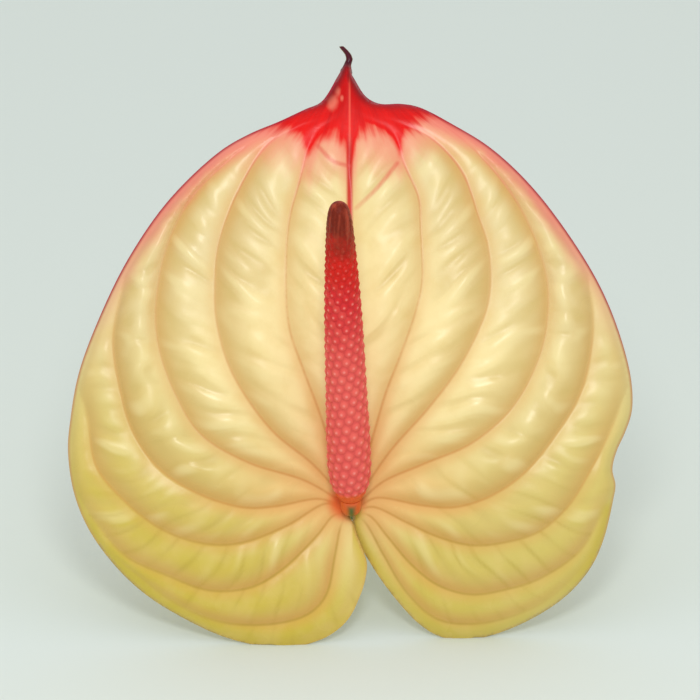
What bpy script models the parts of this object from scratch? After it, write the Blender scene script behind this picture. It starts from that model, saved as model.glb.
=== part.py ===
"""A cut anthurium lying on a table, in metres and +Z up: peduncle, heart-shaped spathe and spadix.

The bloom leans back on the two lowest rims of its lobes and its stalk lies behind it along +Y. The blade is
drawn in its own plane first, in millimetres from the point where the stalk meets it: u to the right, v
towards the tip, and w out of the blade towards whoever looks into the flower.
"""
import math

import bmesh
import bpy
import numpy as np

MM = 0.001

# How the bloom sits: its base point, and how far its face turns up from the horizontal
BASE_POINT = (0.15, -143.5, 32.75)
LEAN = math.radians(25.0)

# The blade
RING_RADIUS = 2.45
RING_SPREAD = math.radians(168.0)
VEINS = 8
CELLS_PER_BAND = 4
ROWS = 44
ROW_REACH = 95.0
WELD = 0.5
BLADE_THICKNESS = 1.0
RIM_THICKNESS = 0.75
RIB_HEIGHT = 0.5
FUNNEL_DEPTH = 7.0
FUNNEL_RADIUS = 22.0
SIDE_DROP = 5.0
TOP_DROP = 6.0
LOBE_DROP = {-1: 9.0, 1: 12.6}
RIM_CURL = 2.0
CONE_ROLL = 2.6
BULGE = 0.085
PUCKER = 0.22
PUCKER_WAVE = 11.0
SINUS_STEP = 0.5

# Points picked along the midrib, the rims and the veins, from the stalk towards the tip
MIDRIB = [(0.1, 20.0), (0.2, 45.0), (0.1, 68.0), (-0.4, 74.4), (-0.3, 80.7), (-0.5, 90.6)]
LEFT_RIM = [
    (0.5, -3.7), (1.3, -6.1), (2.6, -9.2), (3.7, -12.7), (3.4, -16.0), (2.4, -19.5), (-0.5, -25.3),
    (-4.5, -28.8), (-8.7, -30.6), (-14.2, -31.8), (-22.0, -30.9), (-28.6, -29.1), (-35.6, -25.9),
    (-44.6, -20.5), (-51.5, -14.3), (-57.9, -5.6), (-61.3, 2.6), (-62.7, 12.2), (-62.2, 18.9),
    (-60.3, 29.4), (-55.8, 41.5), (-49.2, 54.9), (-40.3, 67.7), (-29.1, 78.4), (-22.5, 82.3),
    (-15.8, 85.1), (-10.1, 87.8), (-6.7, 89.4),
]
RIGHT_RIM = [
    (0.3, -3.9), (0.8, -6.2), (1.9, -9.0), (3.6, -12.0), (6.6, -16.7), (11.5, -22.9), (15.3, -26.7),
    (19.2, -29.1), (24.3, -30.2), (31.1, -29.1), (39.9, -25.5), (47.8, -20.2), (53.2, -13.9),
    (56.0, -7.7), (58.1, 1.3), (58.6, 4.7), (57.9, 8.1), (58.8, 12.0), (60.7, 16.2), (62.2, 20.9),
    (62.1, 27.6), (59.7, 37.4), (55.4, 48.1), (48.7, 59.3), (39.8, 70.9), (30.8, 79.3), (22.0, 84.7),
    (14.9, 88.3), (11.0, 89.0), (6.4, 89.0), (3.5, 90.5),
]
LEFT_VEINS = [
    [(-7.0, 20.9), (-10.6, 30.5), (-13.5, 39.2), (-14.3, 50.4), (-13.5, 63.2), (-11.2, 72.0),
     (-9.3, 79.0), (-5.6, 86.0)],
    [(-8.3, 9.2), (-16.8, 16.2), (-23.2, 24.4), (-27.3, 32.2), (-29.6, 41.3), (-29.9, 48.9),
     (-29.1, 57.8), (-24.5, 70.1), (-18.0, 80.1), (-10.0, 84.6)],
    [(-10.0, 5.6), (-22.8, 9.8), (-33.1, 16.0), (-38.7, 24.9), (-42.2, 34.7), (-43.0, 43.4),
     (-40.7, 56.7)],
    [(-7.0, 1.6), (-16.8, 0.0), (-23.7, -0.2), (-33.9, 3.0), (-42.9, 9.0), (-48.3, 17.1), (-51.0, 26.5),
     (-52.4, 36.5)],
    [(-5.3, 0.6), (-14.2, -4.3), (-24.5, -8.1), (-32.2, -8.2), (-41.6, -5.1), (-50.6, 1.9), (-56.2, 9.0),
     (-58.2, 20.0)],
    [(-4.0, -2.2), (-7.4, -6.4), (-15.1, -13.9), (-22.0, -17.9), (-31.4, -18.6), (-40.3, -15.4),
     (-49.8, -11.0), (-55.8, -4.5)],
    [(-2.3, -4.6), (-3.5, -10.7), (-5.5, -19.7), (-9.1, -23.7), (-15.1, -25.8), (-24.1, -26.3),
     (-31.4, -25.0), (-39.1, -21.4), (-46.4, -15.9)],
]
RIGHT_VEINS = [
    [(5.3, 17.1), (7.7, 25.2), (10.9, 33.4), (14.2, 42.9), (15.6, 49.5), (15.3, 61.2), (14.9, 67.8),
     (11.8, 75.2), (9.5, 81.8), (5.2, 86.4)],
    [(8.5, 12.0), (17.1, 21.8), (24.2, 31.4), (29.6, 42.9), (30.7, 50.0), (30.0, 57.8), (28.2, 63.4),
     (24.2, 74.1), (17.5, 81.2), (9.5, 85.2)],
    [(6.9, 5.3), (15.8, 9.3), (26.9, 14.2), (35.8, 22.2), (41.6, 33.4), (43.3, 42.5), (42.9, 51.2),
     (37.6, 65.2)],
    [(5.5, 1.8), (15.8, 0.2), (22.6, -0.2), (30.3, 2.1), (38.0, 7.3), (45.7, 16.7), (50.8, 25.7),
     (53.3, 38.5)],
    [(5.0, -0.2), (12.3, -3.6), (18.8, -6.6), (26.5, -8.6), (34.2, -7.9), (41.4, -5.6), (47.8, 0.0),
     (52.6, 7.7), (56.4, 15.1)],
    [(4.2, -2.2), (8.1, -6.8), (13.2, -12.8), (19.2, -17.5), (26.5, -19.6), (34.6, -18.4), (41.4, -16.2),
     (50.6, -9.8)],
    [(3.2, -3.8), (7.1, -10.7), (12.3, -19.2), (19.2, -25.2), (27.8, -26.2), (35.5, -24.6),
     (42.3, -21.7), (48.4, -16.6)],
]
# Where the outer veins have joined the rim as side by side strands: heights on it, and the strands' gaps
STRANDS_FROM = {3: 66.0, 4: 50.0, 5: 25.0, 6: 1.5, 7: -9.0}
STRAND_GAP = (0.75, 0.42)
STRANDS_NARROW = (66.0, 86.0)
GATHER_FROM = 0.84
GATHER_TO = 0.92
# The pointed tip: left edge, middle and right edge of its neck, then the tail's middle points and half widths
NECK = [(-2.6, 95.9), (-0.9, 96.3), (0.4, 95.3)]
TAIL = [
    ((-0.8, 97.4), 0.75), ((-0.3, 98.6), 0.55), ((-0.6, 99.7), 0.45), ((-1.3, 100.6), 0.4),
    ((-2.1, 101.4), 0.35),
]

# The spadix: how far it stands out of the blade's plane, its outline as height and radius, and its florets
SPADIX_ANGLE = math.radians(30.0)
SPADIX_SWAY = math.radians(2.3)
SEAT_GAP = 0.3
SPADIX_OUTLINE = [
    (0.0, 2.2), (0.9, 2.9), (2.2, 3.7), (4.4, 4.45), (6.9, 4.85), (10.8, 4.98), (17.2, 4.96),
    (25.0, 4.74), (37.7, 4.5), (50.6, 4.1), (61.7, 3.5), (67.5, 3.1), (71.0, 2.7), (72.9, 2.2),
    (73.8, 1.65), (74.3, 0.95), (74.5, 0.0),
]
FLORETS_UP = (math.radians(8.0), 1.4)
FLORETS_ASIDE = (math.radians(-20.0), 1.0)
PARASTICHIES = (14, -10)
FLORET_RISE = 0.348
FLORET_HEIGHT = 0.55
SMALLEST_FLORET = 1.9

# The stalk, from the cut end to the neck that turns up into the spadix
STALK_LENGTH = 290.0
CUT_RADIUS = 3.25
NECK_RADIUS = 2.1
SHOULDER_START = 8.0
SHOULDER_LENGTH = 4.0
NECK_BEND = 3.4
NECK_START = -6.4
STRAIGHT_RUN = 14.0
STALK_BOW = 9.0
CUT_SLANT = 1.2
STALK_SIDES = 16

FACE_RIGHT = np.array((1.0, 0.0, 0.0))
FACE_UP = np.array((0.0, math.sin(LEAN), math.cos(LEAN)))
FACE_OUT = np.array((0.0, -math.cos(LEAN), math.sin(LEAN)))


def clear_scene():
    for thing in list(bpy.data.objects):
        bpy.data.objects.remove(thing, do_unlink=True)


def to_table(points):
    """Points of the bloom's own frame, as (u, v, w), in the part's frame, still in millimetres."""
    points = np.asarray(points, float)
    frame = np.array([FACE_RIGHT, FACE_UP, FACE_OUT])
    return np.array(BASE_POINT) + points @ frame


def smooth(x):
    x = np.clip(x, 0.0, 1.0)
    return x * x * (3.0 - 2.0 * x)


def smooth_curve(points, samples=500):
    """A smooth curve through hand-picked points, with tangents from their neighbours."""
    p = np.array(points, float)
    steps = np.sqrt(np.linalg.norm(np.diff(p, axis=0), axis=1))
    knots = np.concatenate([[0.0], np.cumsum(steps)])
    slope = np.gradient(p, knots, axis=0)
    x = np.linspace(0.0, knots[-1], samples)
    i = np.clip(np.searchsorted(knots, x, side="right") - 1, 0, len(knots) - 2)
    h = (knots[i + 1] - knots[i])[:, None]
    f = (x - knots[i])[:, None] / h
    start = (1 + 2 * f) * (1 - f) ** 2 * p[i] + f * (1 - f) ** 2 * h * slope[i]
    end = f * f * (3 - 2 * f) * p[i + 1] - f * f * (1 - f) * h * slope[i + 1]
    return start + end


def lengths_along(curve):
    steps = np.linalg.norm(np.diff(curve, axis=0), axis=1)
    return np.concatenate([[0.0], np.cumsum(steps)])


def points_by_row(curve, steps, start_speed, end_speed):
    """Points along a curve in steps, from one speed to another, in millimetres for the whole count."""
    length = lengths_along(curve)
    whole = length[-1]
    s = np.linspace(0.0, 1.0, steps + 1)
    start_speed = min(start_speed, 1.6 * whole)
    end_speed = min(end_speed, 1.6 * whole)
    run = whole * s * s * (3 - 2 * s) + start_speed * s * (1 - s) ** 2 - end_speed * s * s * (1 - s)
    return np.stack([np.interp(run, length, curve[:, k]) for k in (0, 1)], axis=1)


def inward(curve, side):
    """Unit vectors in the blade's plane that point from the rim to its inside."""
    run = np.gradient(curve, axis=0)
    run /= np.linalg.norm(run, axis=1)[:, None]
    return np.stack([run[:, 1], -run[:, 0]], axis=1) * -side


def ring_point(number, side):
    angle = math.pi / 2 - side * RING_SPREAD * number / VEINS
    return (RING_RADIUS * math.cos(angle), RING_RADIUS * math.sin(angle))


def whole_line(points, number, side):
    """Row points of a line that keeps its own way from the ring round the stalk up to the neck of the tip."""
    edge = np.array(NECK[0] if side < 0 else NECK[2])
    neck = np.array(NECK[1]) + (edge - NECK[1]) * number / VEINS
    curve = smooth_curve([ring_point(number, side), *points, tuple(neck)])
    return points_by_row(curve, ROWS, ROW_REACH, ROW_REACH)


def joining_line(points, number, side, rim):
    """Row points of a vein that joins the rim and runs on beside it, row by row."""
    gap = np.interp(rim[:, 1], STRANDS_NARROW, STRAND_GAP)
    beside = rim + inward(rim, side) * gap[:, None] * (VEINS - number)
    past_lobe = np.arange(len(rim)) > np.argmin(rim[:, 1])
    join = int(np.argmax(past_lobe & (rim[:, 1] > STRANDS_FROM[number])))
    curve = smooth_curve([ring_point(number, side), *points, tuple(beside[join])])
    rim_speed = np.linalg.norm(beside[join + 1] - beside[join]) * join
    own = points_by_row(curve, join, ROW_REACH * join / ROWS, rim_speed)
    return np.concatenate([own[:-1], beside[join:]])


def row_lines(side):
    """The nine lines of one half by row, from the midrib (0) to the rim (8)."""
    rim = whole_line(LEFT_RIM if side < 0 else RIGHT_RIM, VEINS, side)
    midrib = whole_line(MIDRIB, 0, side)
    s = np.linspace(0.0, 1.0, len(rim))[:, None]
    gather = smooth((s - GATHER_FROM) / (GATHER_TO - GATHER_FROM))
    lines = [midrib]
    for number, points in enumerate(LEFT_VEINS if side < 0 else RIGHT_VEINS, start=1):
        line = whole_line(points, number, side)
        if number in STRANDS_FROM:
            line = joining_line(points, number, side, rim)
        evenly = midrib + (rim - midrib) * number / VEINS
        lines.append(line * (1 - gather) + evenly * gather)
    return lines + [rim]


def half_plan(side):
    """One half blade as rows from stalk to tip and columns from midrib to rim, with each column's place."""
    lines = row_lines(side)
    columns = []
    places = []
    for number in range(VEINS):
        for cell in range(CELLS_PER_BAND + (number == VEINS - 1)):
            part = cell / CELLS_PER_BAND
            columns.append(lines[number] * (1 - part) + lines[number + 1] * part)
            places.append(number + part)
    return np.stack(columns, axis=1), np.array(places)


def tail_rows(places, side):
    rows = []
    for middle, half_width in TAIL:
        across = np.stack([side * half_width * places / VEINS, np.zeros(len(places))], axis=1)
        rows.append(np.array(middle) + across)
    return np.stack(rows)


def band_relief(plan):
    """How far the tissue bulges between two veins: by the band's width, nothing on the veins, in puckers."""
    relief = np.zeros(plan.shape[:2])
    for number in range(VEINS):
        first = plan[:, number * CELLS_PER_BAND]
        last = plan[:, (number + 1) * CELLS_PER_BAND]
        width = np.linalg.norm(last - first, axis=1)
        run = lengths_along((first + last) / 2)
        wave = 1.0 + PUCKER * np.sin(2 * math.pi * run / PUCKER_WAVE + 2.1 * number)
        for cell in range(1, CELLS_PER_BAND):
            part = cell / CELLS_PER_BAND
            hump = (4 * part * (1 - part)) ** 0.75
            relief[:, number * CELLS_PER_BAND + cell] = BULGE * width * wave * hump
    s = np.linspace(0.0, 1.0, len(plan))[:, None]
    return relief * smooth(s / 0.12) * smooth((1 - s) / 0.14)


def blade_height(plan, places, side):
    """The blade's own form without its relief."""
    u = plan[..., 0]
    v = plan[..., 1]
    t = places[None, :] / VEINS
    reach = np.hypot(u, v)
    height = -FUNNEL_DEPTH * np.exp(-((reach / FUNNEL_RADIUS) ** 2))
    height -= SIDE_DROP * (u / 62.0) ** 2
    height -= TOP_DROP * np.clip((v - 40.0) / 60.0, 0.0, 1.2) ** 2
    height -= LOBE_DROP[side] * np.clip((8.0 - v) / 40.0, 0.0, 1.2) ** 1.5
    height -= RIM_CURL * smooth((v - 88.0) / -6.0) * np.clip(4 * t - 3, 0.0, 1.0) ** 2
    height -= CONE_ROLL * t**2 * smooth((v - 84.0) / 6.0) * smooth((99.0 - v) / 4.0)
    height -= side * SINUS_STEP * np.exp(-(((v + 7.0) / 6.0) ** 2)) * smooth(3 * t - 2)
    return height


def half_sheet(side):
    """Front points and thicknesses of one half blade with its part of the tail."""
    plan, places = half_plan(side)
    relief = band_relief(plan)
    tail = tail_rows(places, side)
    plan = np.concatenate([plan, tail])
    relief = np.concatenate([relief, np.zeros(tail.shape[:2])])
    height = blade_height(plan, places, side) + relief
    on_rim = np.clip(places - 7.0, 0.0, 1.0)[None, :]
    thickness = BLADE_THICKNESS + (RIM_THICKNESS - BLADE_THICKNESS) * on_rim
    s = np.clip(np.arange(len(plan)) / ROWS, 0.0, 1.0)[:, None]
    is_vein = (places % 1 == 0) & (places < VEINS)
    thickness = thickness + RIB_HEIGHT * is_vein[None, :] * (1 - 0.6 * s) * smooth((1 - s) / 0.2)
    thickness[-len(tail):] = np.linspace(0.75, 0.5, len(tail))[:, None]
    return np.dstack([plan, height]), thickness


def grid_quads(rows, columns):
    quads = []
    for i in range(rows - 1):
        for j in range(columns - 1):
            a = i * columns + j
            quads.append((a, a + 1, a + columns + 1, a + columns))
    return quads


def split_quad(points, quad):
    """A quad as two triangles, cut along its shorter diagonal."""
    a, b, c, d = quad
    if np.linalg.norm(points[a] - points[c]) <= np.linalg.norm(points[b] - points[d]):
        return (a, b, c), (a, c, d)
    return (a, b, d), (b, c, d)


def blade_sheet():
    """The front of the whole blade as one welded sheet; each vertex carries its thickness."""
    left, left_thick = half_sheet(-1)
    right, right_thick = half_sheet(1)
    front = np.concatenate([left[:, ::-1], right[:, 1:]], axis=1)
    thick = np.concatenate([left_thick[:, ::-1], right_thick[:, 1:]], axis=1).ravel()
    rows, columns = front.shape[:2]
    points = front.reshape(-1, 3)
    bm = bmesh.new()
    layer = bm.verts.layers.float.new("thickness")
    verts = []
    for co, depth in zip(points, thick):
        vert = bm.verts.new(co)
        vert[layer] = depth
        verts.append(vert)
    for quad in grid_quads(rows, columns):
        for corners in split_quad(points, quad):
            bm.faces.new([verts[k] for k in corners])
    away_from_notch = [v for v in bm.verts if v.co.y > 3.0 or abs(v.co.x) > 8.0]
    bmesh.ops.remove_doubles(bm, verts=away_from_notch, dist=WELD)
    bm.normal_update()
    return bm, layer


def thicken(bm, layer):
    """Gives the sheet a back alike to its front, triangle by triangle, and walls along its open edges."""
    front = list(bm.verts)
    back = {v: bm.verts.new(v.co - v.normal * v[layer]) for v in front}
    edges = [e for e in bm.edges if e.is_boundary]
    sheet = list(bm.faces)
    for edge in edges:
        a, b = [loop.vert for loop in (edge.link_loops[0], edge.link_loops[0].link_loop_next)]
        bm.faces.new((b, a, back[a]))
        bm.faces.new((b, back[a], back[b]))
    for face in sheet:
        bm.faces.new([back[v] for v in reversed(face.verts)])


def flatten_foot(bm):
    """Sets the lowest rims of both lobes flat on the table."""
    for vert in bm.verts:
        co = to_table(vert.co)
        co[2] = max(co[2], 0.0)
        vert.co = co * MM


def make_spathe():
    bm, layer = blade_sheet()
    thicken(bm, layer)
    flatten_foot(bm)
    return finish_mesh(bm, "spathe", (0.83, 0.68, 0.30), 0.28)


def spadix_frame():
    """Foot centre of the spadix and its axes: along it, to its right and towards the viewer."""
    along = np.array((
        -math.sin(SPADIX_SWAY) * math.cos(SPADIX_ANGLE),
        math.cos(SPADIX_SWAY) * math.cos(SPADIX_ANGLE),
        math.sin(SPADIX_ANGLE),
    ))
    out = np.array((0.0, 0.0, 1.0))
    right = np.cross(along, out)
    right /= np.linalg.norm(right)
    front = np.cross(right, along)
    foot = neck_end() + along * SEAT_GAP
    return foot, along, right, front


def spadix_scale():
    """The spadix's outline as fine points, and how many floret steps lie below each of them."""
    fine = smooth_curve(SPADIX_OUTLINE, 1500)
    pitch = FLORET_RISE * np.maximum(fine[:, 1], SMALLEST_FLORET)
    climb = np.concatenate([[0.0], np.cumsum(np.diff(fine[:, 0]) / pitch[1:])])
    return fine, climb


def make_spadix():
    """Florets on a spiral lattice: each is a low hump whose middle is a vertex, ringed by six in the dips."""
    foot, along, right, front = spadix_frame()
    outline, climb = spadix_scale()
    top = climb[-1]
    period = PARASTICHIES[0] * 2
    drop = -PARASTICHIES[1] * 2
    bm = bmesh.new()
    made = {}

    def lattice_vertex(i, j):
        turns = math.floor(i / period)
        i -= turns * period
        j += turns * drop
        if (i, j) not in made:
            angle = (i * FLORETS_ASIDE[0] + j * FLORETS_UP[0]) / 2
            level = min(max((i * FLORETS_ASIDE[1] + j * FLORETS_UP[1]) / 2, 0.0), top)
            height = np.interp(level, climb, outline[:, 0])
            radius = np.interp(level, climb, outline[:, 1])
            if i % 2 or j % 2:
                radius -= FLORET_HEIGHT * min(radius / 4.0, 1.0) * smooth(level / 3)
            spoke = math.cos(angle) * front + math.sin(angle) * right
            made[i, j] = (bm.verts.new(foot + along * height + spoke * radius), level)
        return made[i, j]

    lowest = -int(period / 1.4) - 2
    highest = int(2 * top / 1.4) + 3
    for i in range(period):
        for j in range(lowest, highest):
            steps = [(i, j), (i + 1, j), (i + 1, j + 1), (i, j + 1)]
            corners = [lattice_vertex(*step) for step in steps]
            for three in ((0, 1, 3), (1, 2, 3)):
                verts, levels = zip(*[corners[k] for k in three])
                if max(levels) > 0.0 and min(levels) < top:
                    bm.faces.new(verts)
    bmesh.ops.remove_doubles(bm, verts=bm.verts, dist=0.05)
    loose = [v for v in bm.verts if not v.link_faces]
    bmesh.ops.delete(bm, geom=loose, context="VERTS")
    bmesh.ops.holes_fill(bm, edges=[e for e in bm.edges if e.is_boundary], sides=0)
    for vert in bm.verts:
        vert.co = to_table(vert.co) * MM
    return finish_mesh(bm, "spadix", (0.62, 0.09, 0.08), 0.4)


def neck_end():
    """Where the neck has turned from the blade's normal to the spadix: the middle of its flat top."""
    return neck_points(1)[-1]


def neck_points(steps):
    """The neck's bend: an arc that starts along +w and ends along the spadix."""
    turn = math.pi / 2 - SPADIX_ANGLE
    points = []
    for k in range(steps + 1):
        a = turn * k / steps
        up = NECK_BEND * (1 - math.cos(a))
        points.append((-math.sin(SPADIX_SWAY) * up, up, NECK_START + NECK_BEND * math.sin(a)))
    return np.array(points)


def stalk_line():
    """Middle line of the stalk on the table, in millimetres, from the cut end to the top of the neck."""
    straight = [(0.0, 0.0, NECK_START - STRAIGHT_RUN * k / 5) for k in (4, 3, 2, 1)]
    neck = to_table([*straight, *neck_points(6)])
    start = to_table((0.0, 0.0, NECK_START - STRAIGHT_RUN))
    low = CUT_RADIUS * math.cos(math.pi / STALK_SIDES)
    bend = (start[2] - low) / (1 - math.cos(LEAN))
    arc = [LEAN * k / 12 for k in range(1, 13)]
    points = [start]
    for a in arc:
        back = bend * (math.sin(LEAN) - math.sin(LEAN - a))
        down = bend * (math.cos(LEAN - a) - math.cos(LEAN))
        points.append(start + np.array((0.0, back, -down)))
    run = STALK_LENGTH - STRAIGHT_RUN - bend * LEAN
    for k in range(1, 13):
        points.append(points[12] + np.array((0.0, run * k / 12, 0.0)))
    line = np.concatenate([np.array(points)[::-1], neck])
    share = np.clip((line[:, 1] - start[1]) / (line[0, 1] - start[1]), 0.0, 1.0)
    line[:, 0] -= STALK_BOW * np.sin(math.pi * share) ** 2
    return line


def make_peduncle():
    line = stalk_line()
    length = lengths_along(line)
    from_neck = length[-1] - length
    widening = smooth((from_neck - SHOULDER_START) / SHOULDER_LENGTH)
    radius = NECK_RADIUS + (CUT_RADIUS - NECK_RADIUS) * widening
    run = np.gradient(line, axis=0)
    run[-1] = to_table(spadix_frame()[1]) - np.array(BASE_POINT)
    run[-7] = FACE_OUT
    bm = bmesh.new()
    rings = []
    for number, (middle, way, r) in enumerate(zip(line, run, radius)):
        way = way / np.linalg.norm(way)
        side = np.array((1.0, 0.0, 0.0)) - way * way[0]
        side /= np.linalg.norm(side)
        lift = np.cross(side, way)
        ring = []
        for k in range(STALK_SIDES):
            a = 2 * math.pi * (k + 0.5) / STALK_SIDES
            slant = way * CUT_SLANT * math.cos(a) if number == 0 else 0.0
            spot = middle + r * (math.cos(a) * side + math.sin(a) * lift) + slant
            ring.append(bm.verts.new(spot * MM))
        rings.append(ring)
    for below, above in zip(rings, rings[1:]):
        for k in range(STALK_SIDES):
            n = (k + 1) % STALK_SIDES
            bm.faces.new((below[k], below[n], above[n], above[k]))
    bm.faces.new(rings[0][::-1])
    bm.faces.new(rings[-1])
    return finish_mesh(bm, "peduncle", (0.20, 0.33, 0.07), 0.4)


def finish_mesh(bm, name, colour, roughness):
    """Turns the mesh into a named, smoothly shaded object with a material of its own."""
    bmesh.ops.recalc_face_normals(bm, faces=bm.faces)
    mesh = bpy.data.meshes.new(name)
    bm.to_mesh(mesh)
    bm.free()
    mesh.shade_smooth()
    mesh.set_sharp_from_angle(angle=math.radians(50.0))
    thing = bpy.data.objects.new(name, mesh)
    bpy.context.scene.collection.objects.link(thing)
    material = bpy.data.materials.new(name)
    material.use_nodes = True
    surface = material.node_tree.nodes["Principled BSDF"]
    surface.inputs["Base Color"].default_value = (*colour, 1.0)
    surface.inputs["Roughness"].default_value = roughness
    surface.inputs["Metallic"].default_value = 0.0
    mesh.materials.append(material)
    return thing


def main():
    clear_scene()
    make_peduncle()
    make_spathe()
    make_spadix()


main()
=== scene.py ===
"""A cut anthurium dressed for its photograph: fine blade, spadix and stalk, materials, light and camera.

The bloom is drawn in its own plane first, in millimetres from the point where the stalk meets the blade:
u to the right, v towards the tip, and w out of the blade towards whoever looks into the flower.
"""
import math

import bmesh
import bpy
import numpy as np
from mathutils import Matrix, Vector, kdtree, noise
from mathutils.bvhtree import BVHTree
from mathutils.geometry import delaunay_2d_cdt

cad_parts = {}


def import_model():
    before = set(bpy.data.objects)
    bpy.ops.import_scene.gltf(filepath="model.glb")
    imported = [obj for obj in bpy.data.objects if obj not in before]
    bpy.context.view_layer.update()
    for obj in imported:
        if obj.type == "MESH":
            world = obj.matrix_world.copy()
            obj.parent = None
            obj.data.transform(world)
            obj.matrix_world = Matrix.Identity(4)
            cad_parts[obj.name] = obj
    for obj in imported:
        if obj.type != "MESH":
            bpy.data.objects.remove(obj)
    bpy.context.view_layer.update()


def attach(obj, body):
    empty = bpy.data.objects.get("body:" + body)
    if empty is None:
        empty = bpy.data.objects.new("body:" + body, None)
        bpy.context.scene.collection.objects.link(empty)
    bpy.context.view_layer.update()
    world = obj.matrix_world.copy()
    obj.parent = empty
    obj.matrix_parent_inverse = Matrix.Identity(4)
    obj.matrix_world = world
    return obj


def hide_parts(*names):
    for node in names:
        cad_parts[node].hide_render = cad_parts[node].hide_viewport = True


MM = 0.001

# How the bloom sits: its base point, and how far its face turns up from the horizontal
BASE_POINT = (0.15, -143.5, 32.75)
LEAN = math.radians(25.0)
FACE_RIGHT = np.array((1.0, 0.0, 0.0))
FACE_UP = np.array((0.0, math.sin(LEAN), math.cos(LEAN)))
FACE_OUT = np.array((0.0, -math.cos(LEAN), math.sin(LEAN)))

# The photograph's frame on the blade's plane, and the camera's distance from it
FRAME_WIDTH = 153.8
FRAME_CENTRE = (-0.22, 34.47)
CAMERA_DISTANCE = 1.4
SENSOR = 36.0

# The blade's plan and main form, as in the CAD source but for a closer ring and notch. A run is where
# a change along v starts and how far it goes.
FINE_RING_RADIUS = 2.22
RING_SPREAD = math.radians(172.0)
VEINS = 8
CELLS_PER_BAND = 4
ROWS = 132
ROW_REACH = 95.0
TOP_SPEED = 1.6
BLADE_THICKNESS = 1.0
RIM_THICKNESS = 0.75
RIB_HEIGHT = 0.5
FUNNEL_DEPTH = 7.0
FUNNEL_RADIUS = 22.0
HALF_WIDTH = 62.0
SIDE_DROP = 5.0
TOP_DROP = 6.0
TOP_RUN = (40.0, 60.0)
LOBE_DROP = {-1: 9.0, 1: 12.6}
LOBE_RUN = (8.0, -40.0)
RIM_CURL = 2.0
CURL_RUN = (88.0, -6.0)
CONE_ROLL = 2.6
CONE_RUN = (84.0, 6.0)
CONE_END = (99.0, -4.0)
SINUS_STEP = 0.5
SINUS_RUN = (-7.0, 6.0)
BULGE = 0.085
MIDRIB = [(0.1, 20.0), (0.2, 45.0), (0.1, 68.0), (-0.4, 74.4), (-0.3, 80.7), (-0.5, 90.6)]
LEFT_RIM = [
    (0.6, -3.5), (1.4, -6.1), (2.6, -9.2), (3.7, -12.7), (3.4, -16.0), (2.4, -19.5), (-0.5, -25.3),
    (-4.5, -28.8), (-8.7, -30.6), (-14.2, -31.8), (-22.0, -30.9), (-28.6, -29.1), (-35.6, -25.9),
    (-44.6, -20.5), (-51.5, -14.3), (-57.9, -5.6), (-61.3, 2.6), (-62.7, 12.2), (-62.2, 18.9),
    (-60.3, 29.4), (-55.8, 41.5), (-49.2, 54.9), (-40.3, 67.7), (-29.1, 78.4), (-22.5, 82.3),
    (-15.8, 85.1), (-10.1, 87.8), (-6.7, 89.4),
]
RIGHT_RIM = [
    (0.1, -3.4), (0.7, -6.1), (1.9, -9.0), (3.6, -12.0), (6.6, -16.7), (11.5, -22.9), (15.3, -26.7),
    (19.2, -29.1), (24.3, -30.2), (31.1, -29.1), (39.9, -25.5), (47.8, -20.2), (53.2, -13.9),
    (56.0, -7.7), (58.1, 1.3), (58.6, 4.7), (57.9, 8.1), (58.8, 12.0), (60.7, 16.2), (62.2, 20.9),
    (62.1, 27.6), (59.7, 37.4), (55.4, 48.1), (48.7, 59.3), (39.8, 70.9), (30.8, 79.3), (22.0, 84.7),
    (14.9, 88.3), (11.0, 89.0), (6.4, 89.0), (3.5, 90.5),
]
LEFT_VEINS = [
    [(-7.0, 20.9), (-10.6, 30.5), (-13.5, 39.2), (-14.3, 50.4), (-13.5, 63.2), (-11.2, 72.0),
     (-9.3, 79.0), (-5.6, 86.0)],
    [(-8.3, 9.2), (-16.8, 16.2), (-23.2, 24.4), (-27.3, 32.2), (-29.6, 41.3), (-29.9, 48.9),
     (-29.1, 57.8), (-24.5, 70.1), (-18.0, 80.1), (-10.0, 84.6)],
    [(-10.0, 5.6), (-22.8, 9.8), (-33.1, 16.0), (-38.7, 24.9), (-42.2, 34.7), (-43.0, 43.4),
     (-40.7, 56.7), (-35.6, 67.4), (-29.6, 74.0), (-22.3, 79.8), (-14.0, 84.4)],
    [(-7.0, 1.6), (-16.8, 0.0), (-23.7, -0.2), (-33.9, 3.0), (-42.9, 9.0), (-48.3, 17.1), (-51.0, 26.5),
     (-52.4, 36.5)],
    [(-5.3, 0.6), (-14.2, -4.3), (-24.5, -8.1), (-32.2, -8.2), (-41.6, -5.1), (-50.6, 1.9), (-56.2, 9.0),
     (-58.2, 20.0)],
    [(-4.0, -2.2), (-7.4, -6.4), (-15.1, -13.9), (-22.0, -17.9), (-31.4, -18.6), (-40.3, -15.4),
     (-49.8, -11.0), (-55.8, -4.5)],
    [(-2.3, -4.6), (-3.5, -10.7), (-5.5, -19.7), (-9.1, -23.7), (-15.1, -25.8), (-24.1, -26.3),
     (-31.4, -25.0), (-39.1, -21.4), (-46.4, -15.9)],
]
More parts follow.
